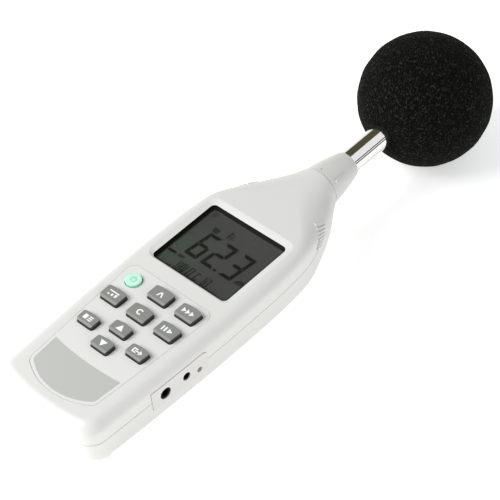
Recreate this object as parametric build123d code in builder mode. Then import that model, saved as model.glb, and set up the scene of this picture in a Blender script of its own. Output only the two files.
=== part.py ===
from build123d import *
import os

# Handheld sound level meter with a half-inch measuring microphone and a foam windscreen.
# Millimetres. X is across the body, +Y points along the microphone, +Z out of the keypad face.
# The origin is the mouth of the tripod socket, on the flat back.

os.makedirs("parts", exist_ok=True)

# ---- Driving dimensions ----------------------------------------------------------------

# Case plan: half widths at a few stations along the body
case_thickness = 26.0
case_half_width = 34.2       # at the widest station, beside the display
belly_y = 14.0
waist_y = -16.0
waist_drop = 0.3             # how much narrower than the widest station
hip_y = -56.0
hip_drop = 1.8
tail_corner_y = -87.5
tail_drop = 3.3
tail_bulge = 4.5             # the rounded tail end stands out this far past its corners
shoulder_y = 50.7
shoulder_drop = 2.0
plan_corner_radius = 9.0
face_edge_radius = 6.0
back_edge_radius = 4.5

# Head: the body narrows from the shoulder to a round neck
neck_y = 95.5
neck_radius = 11.4
mic_axis_drop = 0.3          # microphone axis below the middle of the thickness
head_sections = 9
shoulder_step = 0.06         # the head starts this far inside the end of the body
head_first_rise = 13.3       # two stations on the head's outline, from the shoulder
head_second_rise = 29.3
head_first_shares = (0.42, 1.27)     # half width, as shares of the shoulder and the neck
head_second_shares = (0.2, 1.26)
head_flat = 0.4              # straight left between two elliptical corners
head_top_rate = 1.15         # how early the face side becomes round
head_low_rate = 1.6          # how late the back becomes round
head_floor_start = 0.6       # share of the head where the back starts to lift

# Shells
side_wall = 2.2
roof_wall = 2.8
parting_below_face = 12.0
parting_gap = 0.3
tongue_thickness = 0.8
tongue_height = 1.2
tongue_clearance = 0.15

# Display window and its stack
window_width = 48.0
window_length = 43.2
window_near_y = 4.0
window_corner_radius = 2.6
window_sink = 1.0            # lens face below the case face
bevel_side = 3.0             # width of the sloped surround at the sides
bevel_far = 3.4
bevel_near = 1.0
bevel_corner_radius = 5.0
lens_flange_margin = 1.5
lens_flange_thickness = 0.8
lens_clearance = 0.1
gasket_thickness = 0.3
gasket_border = 1.6
glass_margin = 0.6
glass_thickness = 1.6
zebra_height = 1.6
zebra_width = 1.8
backlight_thickness = 1.4

# Keypad panel, let into the case face
overlay_thickness = 1.3
overlay_clearance = 0.15
panel_top_y = -5.0
panel_top_half_width = 26.5
panel_low_y = -76.0
panel_low_half_width = 21.6
panel_bottom_y = -83.0
panel_corner_radius = 4.5
label_thickness = 0.6
label_top_y = -59.0
label_dip = 2.1
label_border = 1.6
label_clearance = 0.05

# Keys
key_proud = 2.5              # key top above the case face
power_key_proud = 1.4
key_travel = 0.8
key_stop_gap = 0.1
key_clearance = 0.35
key_flange_margin = 0.9
key_flange_thickness = 0.7
key_top_radius = 0.35
key_bevel = 0.9              # slope along the near top edge
key_corner_radius = 1.1
key_arch = 0.7
key_slant = 0.5
upper_key_width = 11.6
upper_key_length = 8.0
lower_key_width = 10.4
lower_key_length = 6.6
power_key_radius = 4.0
pill_radius = 1.75
pill_thickness = 0.5
web_thickness = 0.5
web_margin = 2.95            # web beyond the outermost contact

key_places = {
    "power_key": (-17.6, -13.5, "round"),
    "a_key": (0.0, -12.7, "upper"),
    "fast_key": (17.6, -12.7, "upper"),
    "max_key": (-17.6, -26.4, "upper"),
    "c_key": (0.0, -26.4, "upper"),
    "slow_key": (17.6, -26.3, "upper"),
    "mem_key": (-16.0, -43.8, "lower"),
    "up_key": (0.0, -38.6, "lower"),
    "down_key": (0.0, -50.1, "lower"),
    "read_key": (16.0, -43.7, "lower"),
}

# Circuit board
board_thickness = 1.6
board_half_width = 25.6
board_tail_y = -76.0
board_head_y = 54.0
board_post_radius = 2.3
board_post_x = 20.0
board_post_tail_y = -70.0
board_post_head_y = 51.4
board_screw_radius = 0.95
board_screw_head_radius = 1.9
board_screw_head_height = 1.4
board_screw_length = 3.2

# what hangs under the board: x, y, width, length, height
chip_places = [
    (0.0, 30.0, 12.0, 12.0, 1.2),
    (-13.0, 12.0, 8.0, 6.0, 1.2),
    (12.0, 14.0, 6.0, 5.0, 1.2),
    (13.0, 34.0, 4.5, 2.0, 1.6),
    (-13.0, 34.0, 7.0, 5.0, 2.0),
    (-10.0, -16.0, 6.0, 5.0, 1.2),
]
plug_half_width = 4.2
plug_length = 5.0
plug_height = 4.5
plug_edge_gap = 0.5

# Blank rating label, let into the back
back_label_width = 38.0
back_label_length = 24.0
back_label_y = 34.0
back_label_thickness = 0.3

# Case screws, driven from the back
case_screw_radius = 1.1
case_screw_head_radius = 2.3
case_screw_head_height = 1.8
case_screw_pilot_depth = 7.0
screw_sink = 3.2
screw_boss_radius = 2.8
screw_seat_radius = 3.7
screw_head_clearance = 0.3
screw_shank_clearance = 0.3
screw_clearance = 0.05
screw_wall_inset = 4.6       # screw axis from the outside of the case
tail_screw_y = -80.0
middle_screw_y = -8.0
head_screw_y = 60.0
head_screw_inset = 7.6

# Battery bay for four AAA cells, and its sliding door
cell_radius = 5.25
cell_length = 43.5
cell_nub_radius = 1.9
cell_nub_length = 1.0
cell_gap = 0.2               # between two neighbouring cells
cell_count = 4
cell_height_above_door = 0.3
bay_front_y = -33.3
bay_wall = 1.2
bay_side_clearance = 0.35
contact_thickness = 0.4
contact_spring_length = 2.2
contact_spring_radius = 2.4
contact_gap = 0.05
contact_half_height = 4.0
contact_tab_half = 1.5
lead_run = 3.6
lead_sag = 4.0
door_thickness = 2.0
door_margin = 0.65           # door beyond the side of the battery bay
door_front_y = -32.6
door_clearance = 0.2
door_tongue_width = 1.2
door_tongue_thickness = 0.8
door_grip_count = 7
door_grip_width = 16.0
door_grip_depth = 0.5
door_grip_pitch = 1.8
door_sill_height = 2.0
door_tongue_tail_y = -86.0
rail_foot_width = 1.2
rail_foot_height = 1.2

# Side port plate, jacks and trimmer
plate_tail_y = -53.3
plate_head_y = -19.0
plate_low_below_parting = 5.3
plate_high_above_parting = 6.0
plate_proud = 0.3
plate_clearance = 0.12
plate_corner_radius = 2.6    # the two corners nearest the microphone
plate_reach = 8.0            # how far the plate's cut runs in and out of the side wall
plate_flange = 0.9
plate_flange_gap = 0.1
power_jack_y = -45.3
power_jack_nose_radius = 3.0
power_jack_bore_radius = 1.78
power_jack_bore_length = 8.0
power_jack_width = 6.8
output_jack_y = -32.4
output_jack_nose_radius = 2.1
output_jack_bore_radius = 1.28
output_jack_bore_length = 7.0
output_jack_width = 5.2
jack_front_inset = 3.4       # jack body behind the outside of the case
jack_bay_gap = 0.5
jack_height = 6.4
port_clearance = 0.12
trimmer_y = -24.6
trimmer_drop = 5.5           # trimmer axis below the board
trimmer_width = 8.6
trimmer_height = 9.0
trimmer_depth = 4.8
trimmer_front_inset = 7.0
trimmer_shaft_inset = 3.0    # screw tip behind the outside of the case
trimmer_shaft_seat = 1.5
trimmer_slot_width = 0.5
trimmer_slot_depth = 0.5
trimmer_rotor_radius = 1.15
trimmer_hole_radius = 1.5
trimmer_running_clearance = 0.05

# Tripod socket
socket_bore_radius = 2.55
socket_outer_radius = 4.6
socket_length = 9.0
socket_boss_radius = 6.8
socket_clearance = 0.02
socket_cap = 1.5

# Nose cone, microphone and windscreen
cone_length = 21.0
cone_root_radius = 11.3
cone_tip_wall = 0.85         # round the barrel, at the end of the cone
cone_seam_gap = 0.3
spigot_wall = 2.6
spigot_length = 7.0
spigot_clearance = 0.1
barrel_radius = 6.35
barrel_wall = 0.7
barrel_clearance = 0.05
barrel_root_inset = 11.0     # barrel starts this far inside the neck
barrel_end_y = 164.5
nut_thickness = 3.2
nut_wall = 2.2
capsule_length = 8.0
capsule_wall = 1.1
grid_length = 5.5
grid_slot_count = 8
diaphragm_thickness = 0.15
insulator_thickness = 2.4
backplate_radius = 4.1
windscreen_radius = 35.0
windscreen_y = 177.8
windscreen_clearance = 0.35
windscreen_tip_room = 2.0
windscreen_mouth_radius = 2.0
preamp_clearance = 1.05      # from the edge of the board to the barrel
preamp_thickness = 1.0
preamp_root_inset = 5.0
pin_radius = 1.0
cone_bulge = 0.35
ridge_angle = 52.0           # the raised index mark, measured from the face towards +X
ridge_width_angle = 9.0
ridge_start = 2.9
ridge_length = 10.4
ridge_height = 1.5
grub_hole_radius = 0.45
grub_hole_depth = 0.8
grub_hole_offset = 2.4
lead_radius = 0.5
signal_lead_count = 3
signal_lead_pitch = 2.4

# Side grips
grip_low_y = 64.0            # middle of the lowest rib
grip_high_y = 71.8           # middle of the highest rib
grip_low_above_parting = 0.8
grip_high_above_parting = 7.0
grip_low_length = 6.5
grip_high_length = 8.0
grip_rib_count = 8
grip_rib_width = 0.75
grip_rib_proud = 0.6
grip_slant = -28.0           # direction of the ribs, in degrees from the microphone axis

# ---- Values worked out from the ones above ----------------------------------------------

face_z = case_thickness
roof_z = face_z - roof_wall
parting_z = face_z - parting_below_face
axis_z = case_thickness / 2 - mic_axis_drop
tail_end_y = tail_corner_y - tail_bulge
window_z = face_z - window_sink
window_mid_y = window_near_y + window_length / 2
lens_bottom_z = roof_z - lens_flange_thickness
glass_top_z = lens_bottom_z - gasket_thickness
glass_bottom_z = glass_top_z - glass_thickness
board_top_z = glass_bottom_z - zebra_height
board_bottom_z = board_top_z - board_thickness
overlay_floor_z = face_z - overlay_thickness
label_floor_z = face_z - label_thickness
flange_top_z = roof_z - key_stop_gap
flange_bottom_z = flange_top_z - key_flange_thickness
pill_bottom_z = board_top_z + key_stop_gap + key_travel
pill_top_z = pill_bottom_z + pill_thickness
cell_pitch = 2 * cell_radius + cell_gap
cell_z = door_thickness + cell_height_above_door + cell_radius
bay_half_width = cell_pitch * (cell_count - 1) / 2 + cell_radius + bay_side_clearance
door_half_width = bay_half_width + door_margin
bay_roof_z = cell_z + cell_radius + cell_height_above_door
contact_reach = contact_thickness + contact_spring_length
bay_length = cell_length + cell_nub_length + 2 * (contact_reach + contact_gap)
bay_tail_y = bay_front_y - bay_length
jack_z = board_bottom_z - jack_height / 2
trimmer_z = board_bottom_z - trimmer_drop
plate_low_z = parting_z - plate_low_below_parting
plate_high_z = parting_z + plate_high_above_parting
cone_tip_y = neck_y + cone_length
cone_tip_radius = barrel_radius + cone_tip_wall
spigot_radius = barrel_radius + barrel_clearance + spigot_wall
nut_radius = barrel_radius + barrel_clearance + nut_wall
preamp_half_width = barrel_radius - barrel_wall - preamp_clearance
barrel_root_y = neck_y - barrel_root_inset
preamp_root_y = barrel_root_y + preamp_root_inset
seat_top_z = parting_z + tongue_height + 2 * tongue_clearance - screw_clearance
jack_back_x = bay_half_width + bay_wall + jack_bay_gap
capsule_end_y = barrel_end_y + capsule_length
mic_tip_y = capsule_end_y + grid_length
far_reach = 400.0            # longer than the whole meter

width_stations = [
    (tail_corner_y, case_half_width - tail_drop),
    (hip_y, case_half_width - hip_drop),
    (waist_y, case_half_width - waist_drop),
    (belly_y, case_half_width),
    (shoulder_y, case_half_width - shoulder_drop),
]


def half_width_at(y):
    for (y0, w0), (y1, w1) in zip(width_stations, width_stations[1:]):
        if y <= y1:
            return w0 + (w1 - w0) * (y - y0) / (y1 - y0)
    return width_stations[-1][1]


tail_screw_x = half_width_at(tail_screw_y) - screw_wall_inset
middle_screw_x = half_width_at(middle_screw_y) - screw_wall_inset
head_screw_x = half_width_at(head_screw_y) - head_screw_inset - screw_boss_radius
case_screw_places = [
    (side * x, y)
    for x, y in ((tail_screw_x, tail_screw_y), (middle_screw_x, middle_screw_y),
                 (head_screw_x, head_screw_y))
    for side in (-1, 1)
]
board_screw_places = [
    (side * board_post_x, y)
    for y in (board_post_tail_y, board_post_head_y)
    for side in (-1, 1)
]
cell_places = [cell_pitch * (n - (cell_count - 1) / 2) for n in range(cell_count)]


# ---- Case shape ------------------------------------------------------------------------

def plan_outline(inset):
    # body plan from the tail to the shoulder, moved inwards by inset
    tail_x = width_stations[0][1] - inset
    shoulder_x = width_stations[-1][1] - inset
    side_points = [(w - inset, y) for y, w in width_stations[1:]]
    with BuildSketch(Plane.XY.offset(inset)) as plan:
        with BuildLine():
            side = Spline((tail_x, tail_corner_y + inset), *side_points,
                          tangents=[(0.04, 1), (-0.16, 1)])
            ThreePointArc((-tail_x, tail_corner_y + inset), (0, tail_end_y + inset),
                          (tail_x, tail_corner_y + inset))
            Line((-shoulder_x, shoulder_y), (shoulder_x, shoulder_y))
            mirror(side, about=Plane.YZ)
        make_face()
        corners = plan.vertices().filter_by(lambda v: v.Y < tail_corner_y + inset + 0.01)
        fillet(corners, plan_corner_radius - inset)
    return plan.sketch


def head_section(half, top, floor, top_rx, top_rz, low_rx, low_rz):
    # a closed section with elliptical corners, in its own X and Z
    with BuildLine() as section:
        EllipticalCenterArc((half - top_rx, top - top_rz), top_rx, top_rz, start_angle=0)
        EllipticalCenterArc((top_rx - half, top - top_rz), top_rx, top_rz, start_angle=90)
        EllipticalCenterArc((low_rx - half, floor + low_rz), low_rx, low_rz, start_angle=180)
        EllipticalCenterArc((half - low_rx, floor + low_rz), low_rx, low_rz, start_angle=270)
        Line((half, floor + low_rz), (half, top - top_rz))
        Line((half - top_rx, top), (top_rx - half, top))
        Line((-half, top - top_rz), (-half, floor + low_rz))
        Line((low_rx - half, floor), (half - low_rx, floor))
    return section.line


def head_solid(inset, roof):
    # lofted from the shoulder's section to the round neck
    shoulder_x = width_stations[-1][1]
    first_x = shoulder_x * head_first_shares[0] + neck_radius * head_first_shares[1]
    second_x = shoulder_x * head_second_shares[0] + neck_radius * head_second_shares[1]
    side = Spline((shoulder_x, shoulder_y), (first_x, shoulder_y + head_first_rise),
                  (second_x, shoulder_y + head_second_rise), (neck_radius, neck_y),
                  tangents=[(-0.16, 1), (-0.5, 1)])
    with BuildPart() as head:
        for n in range(head_sections + 1):
            place = side @ (n / head_sections)
            share = (place.Y - shoulder_y) / (neck_y - shoulder_y)
            step = shoulder_step * (1 - share)
            half = place.X - inset - step
            top = face_z + (axis_z + neck_radius - face_z) * share - roof - step
            lift = max(0, (share - head_floor_start) / (1 - head_floor_start))
            floor = inset + step + (axis_z - neck_radius) * lift ** 2
            top_share = min(1, share * head_top_rate)
            top_blend = top_share ** 2 * (3 - 2 * top_share)
            low_blend = share ** head_low_rate
            top_radius = face_edge_radius - roof
            low_radius = back_edge_radius - inset
            top_rx = top_radius + (half - head_flat - top_radius) * top_blend
            top_rz = top_radius + (top - axis_z - head_flat - top_radius) * top_blend
            low_rx = low_radius + (half - head_flat - low_radius) * low_blend
            low_rz = low_radius + (axis_z - floor - head_flat - low_radius) * low_blend
            with BuildSketch(Plane.XZ.offset(-place.Y)):
                with BuildLine():
                    add(head_section(half, top, floor, top_rx, top_rz, low_rx, low_rz))
                make_face()
        loft()
    return head.part


def case_solid(inset, roof):
    # the whole case as one solid, with its walls moved in by inset and its face by roof
    with BuildPart() as body:
        add(plan_outline(inset))
        extrude(amount=case_thickness - roof - inset)
        around = [e for e in body.faces().sort_by(Axis.Z)[-1].edges()
                  if e.center().Y < shoulder_y - 0.01]
        fillet(around, face_edge_radius - roof)
        below = [e for e in body.faces().sort_by(Axis.Z)[0].edges()
                 if e.center().Y < shoulder_y - 0.01]
        fillet(below, back_edge_radius - inset)
        add(head_solid(inset, roof))
    return body.part


outer_solid = case_solid(0, 0)
core_solid = case_solid(side_wall / 2, roof_wall / 2)


def window_face(margin, z):
    with BuildSketch(Plane.XY.offset(z)) as face:
        with Locations((0, window_mid_y)):
            RectangleRounded(window_width + 2 * margin, window_length + 2 * margin,
                             window_corner_radius + margin)
    return face.sketch


def bevel_face(z):
    low = window_near_y - bevel_near
    high = window_near_y + window_length + bevel_far
    with BuildSketch(Plane.XY.offset(z)) as face:
        with Locations((0, (low + high) / 2)):
            RectangleRounded(window_width + 2 * bevel_side, high - low, bevel_corner_radius)
    return face.sketch


def panel_face(shrink, z):
    # keypad panel: straight tapering sides and a bowed lower end
    with BuildSketch(Plane.XY.offset(z)) as face:
        with BuildLine():
            low_x = panel_low_half_width - shrink
            top_x = panel_top_half_width - shrink
            ThreePointArc((-low_x, panel_low_y + shrink), (0, panel_bottom_y + shrink),
                          (low_x, panel_low_y + shrink))
            Line((low_x, panel_low_y + shrink), (top_x, panel_top_y - shrink))
            Line((top_x, panel_top_y - shrink), (-top_x, panel_top_y - shrink))
            Line((-top_x, panel_top_y - shrink), (-low_x, panel_low_y + shrink))
        make_face()
        fillet(face.vertices(), panel_corner_radius - shrink)
    return face.sketch


def label_face(shrink, z):
    # the label fills the lower end of the panel, inside a narrow border
    with BuildSketch(Plane.XY.offset(z)) as face:
        add(panel_face(label_border + shrink, z))
        with BuildSketch(Plane.XY.offset(z), mode=Mode.INTERSECT):
            with BuildLine():
                edge_x = panel_top_half_width
                ThreePointArc((-edge_x, label_top_y - shrink),
                              (0, label_top_y - label_dip - shrink),
                              (edge_x, label_top_y - shrink))
                Line((edge_x, label_top_y - shrink), (edge_x, panel_bottom_y - 5))
                Line((edge_x, panel_bottom_y - 5), (-edge_x, panel_bottom_y - 5))
                Line((-edge_x, panel_bottom_y - 5), (-edge_x, label_top_y - shrink))
            make_face()
    return face.sketch


def key_face(kind, x, grow, z):
    # plan of one key: a disc, or a block with an arched far side and a slanted outer side
    with BuildSketch(Plane.XY.offset(z)) as face:
        if kind == "round":
            Circle(power_key_radius + grow)
        else:
            wide = (upper_key_width if kind == "upper" else lower_key_width) / 2
            deep = (upper_key_length if kind == "upper" else lower_key_length) / 2
            right = wide - (key_slant if x > 0 else 0)
            left = wide - (key_slant if x < 0 else 0)
            with BuildLine():
                Line((-left, -deep), (right, -deep))
                Line((right, -deep), (wide, deep - key_arch))
                ThreePointArc((wide, deep - key_arch), (0, deep), (-wide, deep - key_arch))
                Line((-wide, deep - key_arch), (-left, -deep))
            make_face()
            fillet(face.vertices(), key_corner_radius)
            if grow:
                offset(amount=grow, mode=Mode.REPLACE)
    return face.sketch


def block(x0, x1, y0, y1, z0, z1):
    with BuildPart() as piece:
        with BuildSketch(Plane.XY.offset(z0)):
            with Locations(((x0 + x1) / 2, (y0 + y1) / 2)):
                Rectangle(x1 - x0, y1 - y0)
        extrude(amount=z1 - z0)
    return piece.part


def layer(z0, z1, y1=far_reach):
    # everything between two heights, as far as y1 along the microphone
    return block(-far_reach, far_reach, -far_reach, y1, z0, z1)


def posts(places, radius, z0, z1):
    with BuildPart() as group:
        with BuildSketch(Plane.XY.offset(z0)):
            with Locations(*places):
                Circle(radius)
        extrude(amount=z1 - z0)
    return group.part


def bar_along_y(radius, y0, y1, x=0.0, z=axis_z):
    with BuildPart() as bar:
        with BuildSketch(Plane.XZ.offset(-y0)):
            with Locations((x, z)):
                Circle(radius)
        extrude(amount=-(y1 - y0))
    return bar.part


def bar_along_x(radius, x0, x1, y, z):
    with BuildPart() as bar:
        with BuildSketch(Plane.YZ.offset(x0)):
            with Locations((y, z)):
                Circle(radius)
        extrude(amount=x1 - x0)
    return bar.part


def plate_prism(grow):
    # outline of the side port plate, taken straight through the side wall
    with BuildPart() as prism:
        with BuildSketch(Plane.YZ.offset(case_half_width - plate_reach)) as outline:
            middle = ((plate_tail_y + plate_head_y) / 2, (plate_low_z + plate_high_z) / 2)
            with Locations(middle):
                Rectangle(plate_head_y - plate_tail_y + 2 * grow,
                          plate_high_z - plate_low_z + 2 * grow)
            head_corners = outline.vertices().sort_by(Axis.X)[-2:]
            fillet(head_corners, plate_corner_radius + grow)
        extrude(amount=2 * plate_reach)
    return prism.part


# the cavity ends in a bulkhead that takes the nose cone's spigot
with BuildPart() as cavity:
    add(case_solid(side_wall, roof_wall))
    split(bisect_by=Plane.XZ.offset(-(neck_y - spigot_length)), keep=Keep.TOP)

spigot_bore = bar_along_y(spigot_radius + spigot_clearance, neck_y - spigot_length - 1, neck_y + 1)


# ---- Front case ------------------------------------------------------------------------

tongue_y = neck_y - spigot_length
rebate_inset = side_wall - tongue_thickness - tongue_clearance
with BuildPart() as rebate:
    add(case_solid(rebate_inset, rebate_inset))
    add(layer(parting_z - 1, parting_z + tongue_height + 2 * tongue_clearance, tongue_y),
        mode=Mode.INTERSECT)

with BuildPart() as grip_ribs:
    rib_rise = grip_high_above_parting - grip_low_above_parting
    with BuildSketch(Plane.YZ.offset(-far_reach / 2)):
        for n in range(grip_rib_count):
            share = n / (grip_rib_count - 1)
            rib_y = grip_low_y + (grip_high_y - grip_low_y) * share
            rib_z = parting_z + grip_low_above_parting + rib_rise * share
            rib_length = grip_low_length + (grip_high_length - grip_low_length) * share
            with Locations((rib_y, rib_z)):
                Rectangle(rib_length, grip_rib_width, rotation=grip_slant)
    extrude(amount=far_reach)
    add(case_solid(-grip_rib_proud, -grip_rib_proud), mode=Mode.INTERSECT)
    add(core_solid, mode=Mode.SUBTRACT)

with BuildPart() as front_case:
    add(outer_solid)
    add(cavity.part, mode=Mode.SUBTRACT)
    add(posts(case_screw_places, screw_boss_radius, parting_z, face_z) & core_solid)
    add(posts(board_screw_places, board_post_radius, board_top_z, face_z) & core_solid)
    add(grip_ribs.part)
    add(layer(-far_reach, parting_z + parting_gap / 2), mode=Mode.SUBTRACT)
    add(rebate.part, mode=Mode.SUBTRACT)
    add(spigot_bore, mode=Mode.SUBTRACT)
    # window opening and the sloped surround that leads down to it
    add(window_face(0, roof_z - 1))
    extrude(amount=roof_wall + 2, mode=Mode.SUBTRACT)
    add(window_face(0, window_z))
    add(bevel_face(face_z))
    loft(mode=Mode.SUBTRACT)
    # pocket for the keypad overlay, and an opening for every key
    add(panel_face(0, overlay_floor_z))
    extrude(amount=overlay_thickness + 1, mode=Mode.SUBTRACT)
    for x, y, kind in key_places.values():
        add(key_face(kind, x, key_clearance, roof_z - 1).moved(Location((x, y, 0))))
    extrude(amount=roof_wall + 2, mode=Mode.SUBTRACT)
    add(plate_prism(plate_clearance), mode=Mode.SUBTRACT)
    pilot_top_z = parting_z + case_screw_pilot_depth
    add(posts(case_screw_places, case_screw_radius + screw_clearance, parting_z - 1, pilot_top_z),
        mode=Mode.SUBTRACT)
    add(posts(board_screw_places, board_screw_radius + screw_clearance, board_top_z - 1,
              board_bottom_z + board_screw_length), mode=Mode.SUBTRACT)
front_case.part.label = "front_case"
export_step(front_case.part, "parts/front_case.step")


# ---- Back case -------------------------------------------------------------------------

tongue_inset = side_wall - tongue_thickness
tongue_core = case_solid(tongue_inset, tongue_inset)
with BuildPart() as tongue:
    add(tongue_core)
    add(cavity.part, mode=Mode.SUBTRACT)
    add(layer(parting_z - 1, parting_z + tongue_height, tongue_y), mode=Mode.INTERSECT)

# battery bay: four walls and a roof, with a sill at the tail that closes the floor
with BuildPart() as bay:
    bay_outer_x = bay_half_width + bay_wall
    add(block(-bay_outer_x, bay_outer_x, bay_tail_y - bay_wall, bay_front_y + bay_wall,
              0, bay_roof_z + bay_wall))
    foot_x = door_half_width + door_tongue_width + door_clearance + rail_foot_width
    add(block(-foot_x, foot_x, bay_tail_y - bay_wall, bay_front_y + bay_wall,
              0, side_wall + rail_foot_height))
    add(block(-foot_x, foot_x, tail_end_y, bay_tail_y, 0, side_wall + door_sill_height))
    add(core_solid, mode=Mode.INTERSECT)
    add(block(-bay_half_width, bay_half_width, bay_tail_y, bay_front_y, -1, bay_roof_z),
        mode=Mode.SUBTRACT)
    for x in (cell_places[0], cell_places[-1]):
        add(block(x - contact_tab_half - door_clearance, x + contact_tab_half + door_clearance,
                  bay_front_y - 1, bay_front_y + 2 * bay_wall,
                  cell_z - contact_tab_half, cell_z + contact_tab_half), mode=Mode.SUBTRACT)

with BuildPart() as back_case:
    add(outer_solid)
    add(cavity.part, mode=Mode.SUBTRACT)
    add(layer(parting_z - parting_gap / 2, far_reach), mode=Mode.SUBTRACT)
    add(tongue.part)
    add(posts(case_screw_places, screw_seat_radius, 0, seat_top_z) & tongue_core)
    add(posts([(0, 0)], socket_boss_radius, side_wall / 2, socket_length + socket_cap))
    add(bay.part)
    add(spigot_bore, mode=Mode.SUBTRACT)
    # opening for the door, and the grooves that its edges run in
    opening_x = door_half_width + door_clearance
    groove_x = opening_x + door_tongue_width
    groove_z = door_thickness - door_tongue_thickness - door_clearance / 2
    door_front_edge = door_front_y + door_clearance
    add(block(-opening_x, opening_x, -far_reach, door_front_edge, -1, side_wall),
        mode=Mode.SUBTRACT)
    add(block(-groove_x, groove_x, -far_reach, door_front_edge, groove_z, side_wall),
        mode=Mode.SUBTRACT)
    add(posts([(0, 0)], socket_outer_radius + socket_clearance, -1, socket_length),
        mode=Mode.SUBTRACT)
    head_seat_z = screw_sink + case_screw_head_height
    add(posts(case_screw_places, case_screw_head_radius + screw_head_clearance, -1, head_seat_z),
        mode=Mode.SUBTRACT)
    add(posts(case_screw_places, case_screw_radius + screw_shank_clearance, 0, face_z),
        mode=Mode.SUBTRACT)
    add(plate_prism(plate_clearance), mode=Mode.SUBTRACT)
    add(block(-back_label_width / 2, back_label_width / 2, back_label_y - back_label_length / 2,
              back_label_y + back_label_length / 2, -1, back_label_thickness),
        mode=Mode.SUBTRACT)
back_case.part.label = "back_case"
export_step(back_case.part, "parts/back_case.step")

with BuildPart() as case_screws:
    with BuildSketch(Plane.XY.offset(screw_sink)):
        with Locations(*case_screw_places):
            Circle(case_screw_head_radius)
    extrude(amount=case_screw_head_height)
    with BuildSketch(Plane.XY.offset(head_seat_z)):
        with Locations(*case_screw_places):
            Circle(case_screw_radius)
    extrude(amount=pilot_top_z - head_seat_z - screw_head_clearance)
    with BuildSketch(Plane.XY.offset(screw_sink)):
        with Locations(*case_screw_places):
            Rectangle(0.6 * case_screw_head_radius, 0.14 * case_screw_head_radius)
            Rectangle(0.14 * case_screw_head_radius, 0.6 * case_screw_head_radius)
    extrude(amount=case_screw_head_height / 2, mode=Mode.SUBTRACT)
case_screws.part.label = "case_screws"
export_step(case_screws.part, "parts/case_screws.step")

with BuildPart() as back_label:
    with BuildSketch(Plane.XY):
        with Locations((0, back_label_y)):
            Rectangle(back_label_width - 2 * label_clearance,
                      back_label_length - 2 * label_clearance)
    extrude(amount=back_label_thickness)
back_label.part.label = "back_label"
export_step(back_label.part, "parts/back_label.step")

with BuildPart() as tripod_insert:
    with BuildSketch():
        Circle(socket_outer_radius)
        Circle(socket_bore_radius, mode=Mode.SUBTRACT)
    extrude(amount=socket_length)
tripod_insert.part.label = "tripod_insert"
export_step(tripod_insert.part, "parts/tripod_insert.step")


# ---- Battery door, cells and contacts --------------------------------------------------

with BuildPart() as battery_door:
    add(block(-door_half_width, door_half_width, tail_end_y - 1, door_front_y,
              0, door_thickness))
    tongue_x = door_half_width + door_tongue_width
    add(block(-tongue_x, tongue_x, door_tongue_tail_y, door_front_y,
              door_thickness - door_tongue_thickness, door_thickness))
    add(outer_solid, mode=Mode.INTERSECT)
    with BuildSketch():
        for n in range(door_grip_count):
            with Locations((0, door_front_y - (n + 3) * door_grip_pitch)):
                SlotOverall(door_grip_width, door_grip_pitch / 2)
    extrude(amount=door_grip_depth, mode=Mode.SUBTRACT)
battery_door.part.label = "battery_door"
export_step(battery_door.part, "parts/battery_door.step")

for n, x in enumerate(cell_places):
    nub_forward = n % 2 == 0
    can_y = bay_tail_y + contact_reach + contact_gap + (0 if nub_forward else cell_nub_length)
    nub_y = can_y + cell_length if nub_forward else can_y - cell_nub_length
    with BuildPart() as cell:
        add(bar_along_y(cell_radius, can_y, can_y + cell_length, x, cell_z))
        add(bar_along_y(cell_nub_radius, nub_y, nub_y + cell_nub_length, x, cell_z))
    cell.part.label = f"battery_{n + 1}"
    export_step(cell.part, f"parts/battery_{n + 1}.step")

# strips that join the cells end to end, each with its springs
contact_groups = [(0, 1, "tail"), (2, 3, "tail"), (0, 0, "front"), (1, 2, "front"), (3, 3, "front")]
with BuildPart() as battery_contacts:
    for first, last, end in contact_groups:
        low_x = cell_places[first] - contact_half_height
        high_x = cell_places[last] + contact_half_height
        strip_y = bay_tail_y if end == "tail" else bay_front_y - contact_thickness
        add(block(low_x, high_x, strip_y, strip_y + contact_thickness,
                  cell_z - contact_half_height, cell_z + contact_half_height))
        spring_y = bay_tail_y if end == "tail" else bay_front_y - contact_reach
        for n in range(first, last + 1):
            add(bar_along_y(contact_spring_radius, spring_y, spring_y + contact_reach,
                            cell_places[n], cell_z))
    for x in (cell_places[0], cell_places[-1]):
        add(block(x - contact_tab_half, x + contact_tab_half, bay_front_y - contact_thickness,
                  bay_front_y + bay_wall + contact_thickness,
                  cell_z - contact_tab_half / 2, cell_z + contact_tab_half / 2))
battery_contacts.part.label = "battery_contacts"
export_step(battery_contacts.part, "parts/battery_contacts.step")

# a lead from each outer contact, up to the board
lead_y = bay_front_y + bay_wall + contact_thickness
for name, x in (("black_lead", cell_places[0]), ("red_lead", cell_places[-1])):
    with BuildPart() as lead:
        with BuildLine():
            FilletPolyline((x, lead_y, cell_z), (x, lead_y + lead_run, cell_z),
                           (x, lead_y + lead_run, board_bottom_z), radius=0.45 * lead_run)
        with BuildSketch(Plane.XZ.offset(-lead_y)):
            with Locations((x, cell_z)):
                Circle(lead_radius)
        sweep()
    lead.part.label = name
    export_step(lead.part, f"parts/{name}.step")


# ---- Display ---------------------------------------------------------------------------

with BuildPart() as lcd_window:
    add(window_face(lens_flange_margin, lens_bottom_z))
    extrude(amount=lens_flange_thickness)
    add(window_face(-lens_clearance, lens_bottom_z))
    extrude(amount=window_z - lens_bottom_z)
lcd_window.part.label = "lcd_window"
export_step(lcd_window.part, "parts/lcd_window.step")

with BuildPart() as lcd_gasket:
    add(window_face(lens_flange_margin, glass_top_z))
    extrude(amount=gasket_thickness)
    add(window_face(-gasket_border, glass_top_z))
    extrude(amount=gasket_thickness, mode=Mode.SUBTRACT)
lcd_gasket.part.label = "lcd_gasket"
export_step(lcd_gasket.part, "parts/lcd_gasket.step")

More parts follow.
